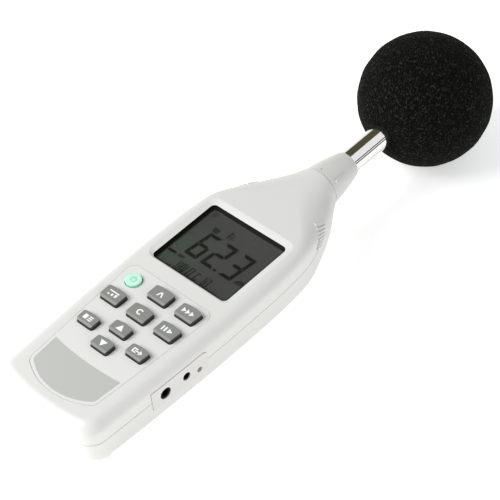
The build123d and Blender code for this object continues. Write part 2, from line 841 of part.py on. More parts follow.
glass_half = window_width / 2 + glass_margin
glass_near = window_near_y - glass_margin
glass_far = window_near_y + window_length + glass_margin
with BuildPart() as lcd_glass:
    add(block(-glass_half, glass_half, glass_near, glass_far, glass_bottom_z, glass_top_z))
lcd_glass.part.label = "lcd_glass"
export_step(lcd_glass.part, "parts/lcd_glass.step")

with BuildPart() as zebra_strips:
    for y in (glass_near + glass_margin, glass_far - glass_margin - zebra_width):
        add(block(-glass_half + 1, glass_half - 1, y, y + zebra_width,
                  board_top_z, glass_bottom_z))
zebra_strips.part.label = "zebra_strips"
export_step(zebra_strips.part, "parts/zebra_strips.step")

with BuildPart() as lcd_backlight:
    inner_near = glass_near + glass_margin + zebra_width + 0.5
    inner_far = glass_far - glass_margin - zebra_width - 0.5
    add(block(-glass_half + 1, glass_half - 1, inner_near, inner_far,
              board_top_z, board_top_z + backlight_thickness))
lcd_backlight.part.label = "lcd_backlight"
export_step(lcd_backlight.part, "parts/lcd_backlight.step")


# ---- Keypad ----------------------------------------------------------------------------

with BuildPart() as keypad_overlay:
    add(panel_face(overlay_clearance, overlay_floor_z))
    extrude(amount=overlay_thickness)
    add(label_face(0, label_floor_z))
    extrude(amount=label_thickness, mode=Mode.SUBTRACT)
    for x, y, kind in key_places.values():
        add(key_face(kind, x, key_clearance, overlay_floor_z).moved(Location((x, y, 0))))
    extrude(amount=overlay_thickness, mode=Mode.SUBTRACT)
keypad_overlay.part.label = "keypad_overlay"
export_step(keypad_overlay.part, "parts/keypad_overlay.step")

with BuildPart() as label_plate:
    add(label_face(label_clearance, label_floor_z))
    extrude(amount=label_thickness)
label_plate.part.label = "label_plate"
export_step(label_plate.part, "parts/label_plate.step")

for name, (x, y, kind) in key_places.items():
    top_z = face_z + (power_key_proud if kind == "round" else key_proud)
    near_y = -(upper_key_length if kind == "upper" else lower_key_length) / 2
    with BuildPart() as key:
        add(key_face(kind, x, 0, flange_bottom_z))
        extrude(amount=top_z - flange_bottom_z)
        fillet(key.faces().sort_by(Axis.Z)[-1].edges(), key_top_radius)
        if kind != "round":
            with BuildSketch(Plane.YZ.offset(-upper_key_width)):
                with BuildLine():
                    Polyline((near_y - key_bevel, top_z - 2 * key_bevel),
                             (near_y + 2 * key_bevel, top_z + key_bevel),
                             (near_y - key_bevel, top_z + key_bevel), close=True)
                make_face()
            extrude(amount=2 * upper_key_width, mode=Mode.SUBTRACT)
        add(key_face(kind, x, key_flange_margin, flange_bottom_z))
        extrude(amount=key_flange_thickness)
        with BuildSketch(Plane.XY.offset(pill_top_z)):
            Circle(pill_radius + key_flange_margin)
        extrude(amount=flange_bottom_z - pill_top_z)
        with BuildSketch(Plane.XY.offset(pill_bottom_z)):
            Circle(pill_radius)
        extrude(amount=pill_thickness)
    placed_key = key.part.moved(Location((x, y, 0)))
    placed_key.label = name
    export_step(placed_key, f"parts/{name}.step")

with BuildPart() as keypad_web:
    with BuildSketch(Plane.XY.offset(board_top_z)):
        web_low_y = key_places["down_key"][1] - lower_key_length
        web_high_y = key_places["a_key"][1] + upper_key_length
        outer_x = key_places["fast_key"][0]
        web_half = outer_x + pill_radius + key_flange_margin + web_margin
        with Locations((0, (web_low_y + web_high_y) / 2)):
            RectangleRounded(2 * web_half, web_high_y - web_low_y, 2)
        with Locations(*[(x, y) for x, y, kind in key_places.values()]):
            Circle(pill_radius + key_flange_margin, mode=Mode.SUBTRACT)
    extrude(amount=web_thickness)
keypad_web.part.label = "keypad_web"
export_step(keypad_web.part, "parts/keypad_web.step")


# ---- Circuit board ---------------------------------------------------------------------

with BuildPart() as main_board:
    add(block(-board_half_width, board_half_width, board_tail_y, board_head_y,
              board_bottom_z, board_top_z))
    add(posts(board_screw_places, board_screw_radius + 4 * screw_clearance,
              board_bottom_z, board_top_z), mode=Mode.SUBTRACT)
main_board.part.label = "main_board"
export_step(main_board.part, "parts/main_board.step")

with BuildPart() as board_chips:
    for x, y, width, length, height in chip_places:
        add(block(x - width / 2, x + width / 2, y - length / 2, y + length / 2,
                  board_bottom_z - height, board_bottom_z))
board_chips.part.label = "board_chips"
export_step(board_chips.part, "parts/board_chips.step")

with BuildPart() as board_screws:
    with BuildSketch(Plane.XY.offset(board_bottom_z - board_screw_head_height)):
        with Locations(*board_screw_places):
            Circle(board_screw_head_radius)
    extrude(amount=board_screw_head_height)
    with BuildSketch(Plane.XY.offset(board_bottom_z)):
        with Locations(*board_screw_places):
            Circle(board_screw_radius)
    extrude(amount=board_screw_length - screw_clearance)
board_screws.part.label = "board_screws"
export_step(board_screws.part, "parts/board_screws.step")

plug_y = board_head_y - plug_edge_gap
with BuildPart() as signal_plug:
    add(block(-plug_half_width, plug_half_width, plug_y - plug_length, plug_y,
              board_bottom_z - plug_height, board_bottom_z))
signal_plug.part.label = "signal_plug"
export_step(signal_plug.part, "parts/signal_plug.step")

with BuildPart() as signal_leads:
    for n in range(signal_lead_count):
        x = signal_lead_pitch * (n - (signal_lead_count - 1) / 2)
        plug_z = board_bottom_z - plug_height / 2
        with BuildLine():
            FilletPolyline((x, plug_y, plug_z), (x, plug_y + lead_sag, plug_z),
                           (x, preamp_root_y - lead_sag, axis_z),
                           (x, preamp_root_y, axis_z), radius=2 * lead_sag)
        with BuildSketch(Plane.XZ.offset(-plug_y)):
            with Locations((x, plug_z)):
                Circle(lead_radius)
        sweep()
signal_leads.part.label = "signal_leads"
export_step(signal_leads.part, "parts/signal_leads.step")


# ---- Side port plate, jacks and trimmer ------------------------------------------------

with BuildPart() as plate_skin:
    add(plate_prism(0))
    add(case_solid(-plate_proud, -plate_proud), mode=Mode.INTERSECT)

flange_inset = side_wall + plate_flange_gap
with BuildPart() as plate_inner:
    add(plate_prism(plate_flange))
    add(case_solid(flange_inset, flange_inset), mode=Mode.INTERSECT)

with BuildPart() as port_plate:
    add(plate_skin.part)
    add(plate_inner.part)
    hollow_inset = flange_inset + plate_flange
    add(case_solid(hollow_inset, hollow_inset), mode=Mode.SUBTRACT)
    for radius, y, z in ((power_jack_nose_radius + port_clearance, power_jack_y, jack_z),
                         (output_jack_nose_radius + port_clearance, output_jack_y, jack_z),
                         (trimmer_hole_radius, trimmer_y, trimmer_z)):
        add(bar_along_x(radius, 0, case_half_width + plate_reach, y, z), mode=Mode.SUBTRACT)
port_plate.part.label = "port_plate"
export_step(port_plate.part, "parts/port_plate.step")


def jack(y, nose_radius, bore_radius, bore_length, width):
    # body under the board, round nose through the plate, blind bore for the plug
    nose_x = half_width_at(y)
    body_x = nose_x - jack_front_inset
    with BuildPart() as body:
        add(block(jack_back_x, body_x, y - width / 2, y + width / 2,
                  board_bottom_z - jack_height, board_bottom_z))
        add(bar_along_x(nose_radius, body_x, nose_x, y, jack_z))
        add(bar_along_x(bore_radius, nose_x - bore_length, nose_x, y, jack_z),
            mode=Mode.SUBTRACT)
    return body.part


power_jack = jack(power_jack_y, power_jack_nose_radius, power_jack_bore_radius,
                  power_jack_bore_length, power_jack_width)
power_jack.label = "power_jack"
export_step(power_jack, "parts/power_jack.step")

output_jack = jack(output_jack_y, output_jack_nose_radius, output_jack_bore_radius,
                   output_jack_bore_length, output_jack_width)
output_jack.label = "output_jack"
export_step(output_jack, "parts/output_jack.step")

trimmer_front_x = half_width_at(trimmer_y) - trimmer_front_inset
trimmer_tip_x = half_width_at(trimmer_y) - trimmer_shaft_inset
seat_x = trimmer_front_x - trimmer_shaft_seat
with BuildPart() as trimmer_body:
    add(block(trimmer_front_x - trimmer_depth, trimmer_front_x,
              trimmer_y - trimmer_width / 2, trimmer_y + trimmer_width / 2,
              board_bottom_z - trimmer_height, board_bottom_z))
    add(bar_along_x(trimmer_rotor_radius + trimmer_running_clearance, seat_x,
                    trimmer_front_x, trimmer_y, trimmer_z), mode=Mode.SUBTRACT)
trimmer_body.part.label = "trimmer_body"
export_step(trimmer_body.part, "parts/trimmer_body.step")

with BuildPart() as trimmer_rotor:
    add(bar_along_x(trimmer_rotor_radius, seat_x + trimmer_running_clearance,
                    trimmer_tip_x, trimmer_y, trimmer_z))
    add(block(trimmer_tip_x - trimmer_slot_depth, trimmer_tip_x,
              trimmer_y - trimmer_slot_width / 2, trimmer_y + trimmer_slot_width / 2,
              trimmer_z - 2, trimmer_z + 2), mode=Mode.SUBTRACT)
trimmer_rotor.part.label = "trimmer_rotor"
export_step(trimmer_rotor.part, "parts/trimmer_rotor.step")


# ---- Nose cone and microphone ----------------------------------------------------------

mic_axis = Axis((0, 0, axis_z), (0, 1, 0))
cone_root_y = neck_y + cone_seam_gap
cone_slope = (cone_tip_radius - cone_root_radius) / (cone_tip_y - cone_root_y)

# raised index mark, highest at its root end
ridge_y = cone_root_y + ridge_start
ridge_end_y = ridge_y + ridge_length
ridge_root_r = cone_root_radius + cone_slope * ridge_start
ridge_end_r = cone_root_radius + cone_slope * (ridge_start + ridge_length)
with BuildSketch(Plane.XY.offset(axis_z)) as ridge:
    with BuildLine():
        Polyline((ridge_root_r - 1, ridge_y), (ridge_root_r + ridge_height, ridge_y),
                 (ridge_end_r, ridge_end_y), (ridge_end_r - 1, ridge_end_y), close=True)
    make_face()

with BuildPart() as nose_cone:
    with BuildSketch(Plane.XY.offset(axis_z)):
        with BuildLine():
            bore = barrel_radius + barrel_clearance
            spigot_y = neck_y - spigot_length + spigot_clearance
            middle_radius = (cone_root_radius + cone_tip_radius) / 2 + cone_bulge
            Polyline((cone_tip_radius, cone_tip_y), (bore, cone_tip_y), (bore, spigot_y),
                     (spigot_radius, spigot_y), (spigot_radius, cone_root_y),
                     (cone_root_radius, cone_root_y))
            ThreePointArc((cone_root_radius, cone_root_y),
                          (middle_radius, (cone_root_y + cone_tip_y) / 2),
                          (cone_tip_radius, cone_tip_y))
        make_face()
    revolve(axis=mic_axis)
    turn = ridge_angle - 90 - ridge_width_angle / 2
    ridge_sketch = ridge.sketch.rotate(mic_axis, turn)
    revolve(ridge_sketch, axis=mic_axis, revolution_arc=ridge_width_angle)
    with BuildSketch(Plane.XY.offset(axis_z + cone_root_radius)):
        with Locations((0, cone_root_y + grub_hole_offset)):
            Circle(grub_hole_radius)
    extrude(amount=-grub_hole_depth - 1, mode=Mode.SUBTRACT)
nose_cone.part.label = "nose_cone"
export_step(nose_cone.part, "parts/nose_cone.step")


def tube_along_y(outer, inner, y0, y1):
    with BuildPart() as tube:
        add(bar_along_y(outer, y0, y1))
        add(bar_along_y(inner, y0, y1), mode=Mode.SUBTRACT)
    return tube.part


mic_barrel = tube_along_y(barrel_radius, barrel_radius - barrel_wall, barrel_root_y, barrel_end_y)
mic_barrel.label = "mic_barrel"
export_step(mic_barrel, "parts/mic_barrel.step")

barrel_nut = tube_along_y(nut_radius, barrel_radius + barrel_clearance,
                          barrel_root_y, barrel_root_y + nut_thickness)
barrel_nut.label = "barrel_nut"
export_step(barrel_nut, "parts/barrel_nut.step")

with BuildPart() as preamp_board:
    add(block(-preamp_half_width, preamp_half_width, preamp_root_y,
              barrel_end_y - preamp_root_inset,
              axis_z - preamp_thickness / 2, axis_z + preamp_thickness / 2))
preamp_board.part.label = "preamp_board"
export_step(preamp_board.part, "parts/preamp_board.step")

capsule_bore = barrel_radius - capsule_wall
mic_capsule = tube_along_y(barrel_radius, capsule_bore, barrel_end_y, capsule_end_y)
mic_capsule.label = "mic_capsule"
export_step(mic_capsule, "parts/mic_capsule.step")

insulator_end_y = barrel_end_y + insulator_thickness
mic_insulator = tube_along_y(capsule_bore - barrel_clearance, pin_radius + barrel_clearance,
                             barrel_end_y, insulator_end_y)
mic_insulator.label = "mic_insulator"
export_step(mic_insulator, "parts/mic_insulator.step")

with BuildPart() as mic_backplate:
    add(bar_along_y(pin_radius, barrel_end_y - preamp_root_inset, insulator_end_y))
    add(bar_along_y(backplate_radius, insulator_end_y,
                    capsule_end_y - 2 * diaphragm_thickness))
mic_backplate.part.label = "mic_backplate"
export_step(mic_backplate.part, "parts/mic_backplate.step")

mic_diaphragm = bar_along_y(capsule_bore - barrel_clearance,
                            capsule_end_y - diaphragm_thickness, capsule_end_y)
mic_diaphragm.label = "mic_diaphragm"
export_step(mic_diaphragm, "parts/mic_diaphragm.step")

with BuildPart() as mic_grid:
    add(bar_along_y(barrel_radius, capsule_end_y, mic_tip_y))
    add(bar_along_y(capsule_bore, capsule_end_y, mic_tip_y - capsule_wall), mode=Mode.SUBTRACT)
    with BuildSketch(Plane.XZ.offset(-mic_tip_y)):
        with Locations((0, axis_z)):
            with PolarLocations(capsule_bore / 2 + pin_radius / 2, grid_slot_count):
                SlotOverall(capsule_bore - 2 * pin_radius, pin_radius)
    extrude(amount=capsule_wall, mode=Mode.SUBTRACT)
mic_grid.part.label = "mic_grid"
export_step(mic_grid.part, "parts/mic_grid.step")


# ---- Windscreen ------------------------------------------------------------------------

with BuildPart() as windscreen:
    with Locations((0, windscreen_y, axis_z)):
        Sphere(windscreen_radius)
    bore_radius = barrel_radius + windscreen_clearance
    add(bar_along_y(bore_radius, windscreen_y - windscreen_radius, mic_tip_y + windscreen_tip_room),
        mode=Mode.SUBTRACT)
    mouth = windscreen.edges().filter_by(GeomType.CIRCLE).sort_by(Axis.Y)[0]
    fillet(mouth, windscreen_mouth_radius)
windscreen.part.label = "windscreen"
export_step(windscreen.part, "parts/windscreen.step")
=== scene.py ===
import math

import bpy
import numpy as np
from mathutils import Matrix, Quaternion, Vector


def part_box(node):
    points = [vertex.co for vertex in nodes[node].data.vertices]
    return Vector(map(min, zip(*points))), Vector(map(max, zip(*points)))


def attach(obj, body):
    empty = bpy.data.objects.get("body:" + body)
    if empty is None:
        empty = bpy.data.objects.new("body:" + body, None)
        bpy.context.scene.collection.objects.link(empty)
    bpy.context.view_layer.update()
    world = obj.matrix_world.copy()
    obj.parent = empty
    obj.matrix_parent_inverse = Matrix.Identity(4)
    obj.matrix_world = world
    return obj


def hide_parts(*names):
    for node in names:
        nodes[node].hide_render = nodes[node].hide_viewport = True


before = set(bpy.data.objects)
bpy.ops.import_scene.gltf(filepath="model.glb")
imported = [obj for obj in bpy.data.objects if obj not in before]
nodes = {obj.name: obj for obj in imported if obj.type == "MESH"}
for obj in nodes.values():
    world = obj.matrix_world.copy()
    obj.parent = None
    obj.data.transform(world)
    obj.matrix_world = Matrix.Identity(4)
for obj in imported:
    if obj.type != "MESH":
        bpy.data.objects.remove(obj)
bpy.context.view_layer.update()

# Handheld sound level meter: materials, display, key legends and foam ball around the CAD frame.
# Everything is in metres, in the CAD's own axes: +Y towards the microphone, +Z out of the keys.

scene = bpy.context.scene
scene.view_settings.view_transform = "Standard"
mm = 0.001
print("frame loaded:", len(nodes), "nodes")


# small helpers

def hexToLinear(code):
    # sRGB hex to the linear colour that shaders take
    channels = [int(code[i:i + 2], 16) / 255 for i in (1, 3, 5)]
    linear = [c / 12.92 if c <= 0.04045 else ((c + 0.055) / 1.055) ** 2.4 for c in channels]
    return (*linear, 1.0)


def addNode(tree, kind, settings=None, values=None, links=None):
    # one node, with its settings, its fixed values and what feeds its sockets
    node = tree.nodes.new(kind)
    for name, value in (settings or {}).items():
        setattr(node, name, value)
    for name, value in (values or {}).items():
        node.inputs[name].default_value = value
    for name, source in (links or {}).items():
        tree.links.new(source, node.inputs[name])
    return node


def startMaterial(name):
    material = bpy.data.materials.new(name)
    material.use_nodes = True
    material.node_tree.nodes.clear()
    return material, material.node_tree


def closeMaterial(tree, surface):
    addNode(tree, "ShaderNodeOutputMaterial", links={"Surface": surface})


def perMetre(sizeMm):
    # pattern scale for features of this size
    return 1.0 / (sizeMm * mm)


def makePiece(name, points, faces, material, body, smooth=False):
    mesh = bpy.data.meshes.new(name)
    mesh.from_pydata([tuple(p) for p in points], [], faces)
    mesh.update()
    mesh.materials.append(material)
    if smooth:
        mesh.polygons.foreach_set("use_smooth", [True] * len(mesh.polygons))
    piece = bpy.data.objects.new(name, mesh)
    scene.collection.objects.link(piece)
    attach(piece, body)
    return piece


def printedPiece(name, outlines, lowZ, highZ, material, body):
    # raised print: each outline, in mm, becomes a thin closed plate
    points, faces = [], []
    for outline in outlines:
        area = sum(a[0] * b[1] - b[0] * a[1] for a, b in zip(outline, outline[1:] + outline[:1]))
        ring = outline if area > 0 else outline[::-1]
        count, base = len(ring), len(points)
        points += [(x * mm, y * mm, lowZ) for x, y in ring]
        points += [(x * mm, y * mm, highZ) for x, y in ring]
        faces.append([base + i for i in reversed(range(count))])
        faces.append([base + count + i for i in range(count)])
        faces += [[base + i, base + (i + 1) % count,
                   base + count + (i + 1) % count, base + count + i] for i in range(count)]
    makePiece(name, points, faces, material, body)


# outlines for marks, in mm

def bar(x0, y0, x1, y1, width):
    # straight stroke between two points
    dx, dy = x1 - x0, y1 - y0
    length = math.hypot(dx, dy)
    sx, sy = -dy / length * width / 2, dx / length * width / 2
    return [(x0 - sx, y0 - sy), (x1 - sx, y1 - sy), (x1 + sx, y1 + sy), (x0 + sx, y0 + sy)]


def box(x0, y0, x1, y1):
    return [(x0, y0), (x1, y0), (x1, y1), (x0, y1)]


def arcBand(x, y, inner, outer, start, end, steps=28):
    # part of a ring; angles in degrees, anticlockwise
    turn = [math.radians(start + (end - start) * i / steps) for i in range(steps + 1)]
    out = [(x + outer * math.cos(a), y + outer * math.sin(a)) for a in turn]
    back = [(x + inner * math.cos(a), y + inner * math.sin(a)) for a in reversed(turn)]
    return out + back


def wedgeArc(x, y, radius, start, end, steps=20):
    # filled part of a disc
    turn = [math.radians(start + (end - start) * i / steps) for i in range(steps + 1)]
    return [(x + radius * math.cos(a), y + radius * math.sin(a)) for a in turn]


def arrowHead(x, y, height, reach):
    # solid triangle pointing along +X
    return [(x, y - height / 2), (x + reach, y), (x, y + height / 2)]


def shifted(outlines, x, y):
    return [[(px + x, py + y) for px, py in outline] for outline in outlines]


# materials

def mouldedPlastic(name, look):
    # ABS as moulded in a spark-eroded tool: satin, with a very fine even grain
    # and a slow change of tone over a few centimetres
    material, tree = startMaterial(name)
    coords = addNode(tree, "ShaderNodeTexCoord").outputs["Object"]
    grain = addNode(tree, "ShaderNodeTexNoise",
                    values={"Scale": perMetre(look["grainMm"]), "Detail": 2.0, "Roughness": 0.5},
                    links={"Vector": coords})
    cloud = addNode(tree, "ShaderNodeTexNoise",
                    values={"Scale": perMetre(look["toneMm"]), "Detail": 1.0},
                    links={"Vector": coords})
    tone = addNode(tree, "ShaderNodeMix", {"data_type": "RGBA"},
                   links={"Factor": cloud.outputs["Fac"]})
    tone.inputs["A"].default_value = hexToLinear(look["colour"])
    tone.inputs["B"].default_value = hexToLinear(look["colourTone"])
    gloss = addNode(tree, "ShaderNodeMapRange",
                    values={"To Min": look["roughness"] - 0.05, "To Max": look["roughness"] + 0.05},
                    links={"Value": grain.outputs["Fac"]})
    bump = addNode(tree, "ShaderNodeBump",
                   values={"Strength": look["grainStrength"],
                           "Distance": look["grainDepthMm"] * mm},
                   links={"Height": grain.outputs["Fac"]})
    skin = addNode(tree, "ShaderNodeBsdfPrincipled", values={"IOR": look["ior"]},
                   links={"Base Color": tone.outputs["Result"],
                          "Roughness": gloss.outputs["Result"],
                          "Normal": bump.outputs["Normal"]})
    closeMaterial(tree, skin.outputs["BSDF"])
    return material


# grain of 0.6 mm is coarser than a real mould's 0.2 mm, so that it shows at all
caseLook = {"colour": "#DFDFDA", "colourTone": "#DCDCD8", "roughness": 0.42, "ior": 1.53,
            "grainMm": 0.6, "grainDepthMm": 0.012, "grainStrength": 0.5, "toneMm": 60}
moulded = {
    "case": mouldedPlastic("abs moulded satin case", caseLook),
    # the cone is the case plastic with a darker colour: painted shade on the sloping nose
    "cone": mouldedPlastic("abs moulded satin cone with painted shade", {**caseLook, "colour": "#D9D9D4",
                                                      "colourTone": "#D6D6D1"}),
    "plate": mouldedPlastic("abs moulded satin side plate", {**caseLook, "colour": "#DAD8D4",
                                                             "colourTone": "#D8D6D2"}),
    "overlay": mouldedPlastic("polycarbonate keypad panel", {
        **caseLook, "colour": "#E2E2DE", "colourTone": "#E0E0DC", "roughness": 0.36,
        "grainMm": 0.9, "grainStrength": 0.3, "ior": 1.58}),
    "label": mouldedPlastic("matt printed label film", {
        **caseLook, "colour": "#BDBEB9", "colourTone": "#BABBB6", "roughness": 0.5,
        "grainMm": 0.5, "grainStrength": 0.25}),
    "connector": mouldedPlastic("natural nylon connector", {
        **caseLook, "colour": "#D8CFB4", "colourTone": "#D2C8AC", "roughness": 0.45}),
    "diffuser": mouldedPlastic("white diffuser", {
        **caseLook, "colour": "#E6E8E2", "colourTone": "#E4E6E0", "roughness": 0.3}),
}

siliconeDustMm = 0.45
# painted shade on the keys' sides: faces that look sideways take the darker side colour
keyShadedSideFacing = (0.25, 0.5)      # how far up a face looks: all side colour, all top colour


def siliconeRubber(name, look):
    # moulded silicone: soft satin, with fine dust and a little light let in; a key's sides
    # get painted shade, a darker colour than its top
    material, tree = startMaterial(name)
    coords = addNode(tree, "ShaderNodeTexCoord").outputs["Object"]
    skin = addNode(tree, "ShaderNodeTexNoise",
                   values={"Scale": perMetre(siliconeDustMm), "Detail": 3.0},
                   links={"Vector": coords})
    tone = addNode(tree, "ShaderNodeMix", {"data_type": "RGBA"},
                   links={"Factor": skin.outputs["Fac"]})
    tone.inputs["A"].default_value = hexToLinear(look["colour"])
    tone.inputs["B"].default_value = hexToLinear(look["colourTone"])
    facing = addNode(tree, "ShaderNodeSeparateXYZ",
                     links={0: addNode(tree, "ShaderNodeTexCoord").outputs["Normal"]})
    upward = addNode(tree, "ShaderNodeMapRange",
                     values={"From Min": keyShadedSideFacing[0], "From Max": keyShadedSideFacing[1]},
                     links={"Value": facing.outputs["Z"]})
    # painted shade: the side colour on the sides, the top colour on top
    shadedSides = addNode(tree, "ShaderNodeMix", {"data_type": "RGBA"},
                    links={"Factor": upward.outputs["Result"], "B": tone.outputs["Result"]})
    shadedSides.inputs["A"].default_value = hexToLinear(look.get("side", look["colour"]))
    gloss = addNode(tree, "ShaderNodeMapRange",
                    values={"To Min": look["roughness"] - 0.06, "To Max": look["roughness"] + 0.06},
                    links={"Value": skin.outputs["Fac"]})
    bump = addNode(tree, "ShaderNodeBump", values={"Strength": 0.35, "Distance": 0.01 * mm},
                   links={"Height": skin.outputs["Fac"]})
    surface = addNode(tree, "ShaderNodeBsdfPrincipled",
                      values={"IOR": 1.43, "Subsurface Weight": look["depth"],
                              "Subsurface Radius": (0.6, 1.0, 0.8),
                              "Subsurface Scale": 1.2 * mm},
                      links={"Base Color": shadedSides.outputs["Result"],
                             "Roughness": gloss.outputs["Result"],
                             "Normal": bump.outputs["Normal"]})
    closeMaterial(tree, surface.outputs["BSDF"])
    return material


silicone = {
    # side: the painted shade colour for a key's side walls
    "grey": siliconeRubber("silicone moulded grey key with painted side shade", {
        "colour": "#898A85", "colourTone": "#848580", "side": "#2E2F2D", "roughness": 0.5,
        "depth": 0.0}),
    "mint": siliconeRubber("silicone translucent mint key with painted side shade", {
        "colour": "#CBF3E2", "colourTone": "#C3EFDB", "side": "#A5EACD", "roughness": 0.38,
        "depth": 0.35}),
    "mintMark": siliconeRubber("silicone mint symbol", {
        "colour": "#A2E8CB", "colourTone": "#9AE2C3", "roughness": 0.4, "depth": 0.2}),
    "web": siliconeRubber("silicone keypad web", {
        "colour": "#A5A6A0", "colourTone": "#9FA09A", "roughness": 0.6, "depth": 0.0}),
    "gasket": siliconeRubber("closed-cell foam gasket", {
        "colour": "#1C1D1B", "colourTone": "#151614", "roughness": 0.8, "depth": 0.0}),
    "zebra": siliconeRubber("layered contact rubber", {
        "colour": "#5C5D5B", "colourTone": "#484947", "roughness": 0.6, "depth": 0.0}),
    "redWire": siliconeRubber("red wire insulation", {
        "colour": "#A81C18", "colourTone": "#9C1814", "roughness": 0.4, "depth": 0.0}),
    "blackWire": siliconeRubber("black wire insulation", {
        "colour": "#161616", "colourTone": "#1B1B1B", "roughness": 0.4, "depth": 0.0}),
    "greyWire": siliconeRubber("grey wire insulation", {
        "colour": "#7F807E", "colourTone": "#777876", "roughness": 0.4, "depth": 0.0}),
}


def glossyPlastic(name, look):
    # polished tool finish: smooth, with the faint ripple that reflections show
    material, tree = startMaterial(name)
    coords = addNode(tree, "ShaderNodeTexCoord").outputs["Object"]
    ripple = addNode(tree, "ShaderNodeTexNoise",
                     values={"Scale": perMetre(look["rippleMm"]), "Detail": 2.0},
                     links={"Vector": coords})
    tone = addNode(tree, "ShaderNodeMix", {"data_type": "RGBA"},
                   links={"Factor": ripple.outputs["Fac"]})
    tone.inputs["A"].default_value = hexToLinear(look["colour"])
    tone.inputs["B"].default_value = hexToLinear(look["colourTone"])
    bump = addNode(tree, "ShaderNodeBump", values={"Strength": 0.2, "Distance": 0.01 * mm},
                   links={"Height": ripple.outputs["Fac"]})
    surface = addNode(tree, "ShaderNodeBsdfPrincipled",
                      values={"Specular IOR Level": look.get("specular", 0.5),
                              "Roughness": look["roughness"]},
                      links={"Base Color": tone.outputs["Result"],
                             "Normal": bump.outputs["Normal"]})
    closeMaterial(tree, surface.outputs["BSDF"])
    return material


glossy = {
    "jack": glossyPlastic("black nylon jack body", {
        "colour": "#020202", "colourTone": "#040404", "roughness": 0.6, "specular": 0.06,
        "rippleMm": 2}),
    "chip": glossyPlastic("black epoxy package", {
        "colour": "#161616", "colourTone": "#1D1D1D", "roughness": 0.5, "rippleMm": 0.4}),
    "trimmer": glossyPlastic("blue trimmer housing", {
        "colour": "#2A57A5", "colourTone": "#254E98", "roughness": 0.3, "rippleMm": 2}),
    "cell": glossyPlastic("printed film on a dry cell", {
        "colour": "#31506C", "colourTone": "#2B4861", "roughness": 0.25, "rippleMm": 3}),
    "insulator": glossyPlastic("polished quartz insulator", {
        "colour": "#E4E4DE", "colourTone": "#DEDED8", "roughness": 0.15, "rippleMm": 3}),
}


def plainMetal(name, look):
    # machined or plated metal: lines left by the tool run round the microphone's axis
    material, tree = startMaterial(name)
    coords = addNode(tree, "ShaderNodeTexCoord").outputs["Object"]
    lines = addNode(tree, "ShaderNodeTexNoise",
                    values={"Scale": 1.0, "Detail": 3.0})
    stretch = addNode(tree, "ShaderNodeMapping", values={"Scale": tuple(
        perMetre(size) for size in look["lineMm"])}, links={"Vector": coords})
    tree.links.new(stretch.outputs["Vector"], lines.inputs["Vector"])
    gloss = addNode(tree, "ShaderNodeMapRange",
                    values={"To Min": look["roughness"] - look["spread"],
                            "To Max": look["roughness"] + look["spread"]},
                    links={"Value": lines.outputs["Fac"]})
    bump = addNode(tree, "ShaderNodeBump",
                   values={"Strength": look["lineStrength"], "Distance": 0.006 * mm},
                   links={"Height": lines.outputs["Fac"]})
    surface = addNode(tree, "ShaderNodeBsdfPrincipled",
                      values={"Base Color": hexToLinear(look["colour"]), "Metallic": 1.0},
                      links={"Roughness": gloss.outputs["Result"],
                             "Normal": bump.outputs["Normal"]})
    closeMaterial(tree, surface.outputs["BSDF"])
    return material


metal = {
    "chrome": plainMetal("polished chrome plate", {
        "colour": "#E9E8E4", "roughness": 0.06, "spread": 0.02,
        "lineMm": (6, 2, 6), "lineStrength": 0.04}),
    "grid": plainMetal("turned stainless steel", {
        "colour": "#C6C5C0", "roughness": 0.26, "spread": 0.08,
        "lineMm": (6, 0.15, 6), "lineStrength": 0.3}),
    "zinc": plainMetal("zinc-plated steel", {
        "colour": "#C3C4C2", "roughness": 0.34, "spread": 0.1,
        "lineMm": (0.5, 0.5, 0.5), "lineStrength": 0.3}),
    "spring": plainMetal("nickel-plated spring steel", {
        "colour": "#CFCDC6", "roughness": 0.24, "spread": 0.08,
        "lineMm": (0.4, 2, 0.4), "lineStrength": 0.2}),
    "brass": plainMetal("machined brass", {
        "colour": "#CBA75F", "roughness": 0.24, "spread": 0.08,
        "lineMm": (4, 4, 0.2), "lineStrength": 0.3}),
    "foil": plainMetal("matt aluminium label foil", {
        "colour": "#CDCDCC", "roughness": 0.42, "spread": 0.06,
        "lineMm": (0.15, 12, 12), "lineStrength": 0.2}),
}


def circuitBoardGreen():
    # green solder mask over copper tracks about 1 mm apart
    material, tree = startMaterial("green solder mask")
    coords = addNode(tree, "ShaderNodeTexCoord").outputs["Object"]
    tracks = addNode(tree, "ShaderNodeTexBrick",
                     {"offset": 0.4},
                     values={"Scale": perMetre(4.0), "Mortar Size": 0.06,
                             "Brick Width": 1.4, "Row Height": 0.3,
                             "Color1": hexToLinear("#12502A"), "Color2": hexToLinear("#155A30"),
                             "Mortar": hexToLinear("#2E7C46")},
                     links={"Vector": coords})
    bump = addNode(tree, "ShaderNodeBump", values={"Strength": 0.4, "Distance": 0.03 * mm},
                   links={"Height": tracks.outputs["Fac"]})
    surface = addNode(tree, "ShaderNodeBsdfPrincipled", values={"Roughness": 0.32, "IOR": 1.55},
                      links={"Base Color": tracks.outputs["Color"],
                             "Normal": bump.outputs["Normal"]})
    closeMaterial(tree, surface.outputs["BSDF"])
    return material


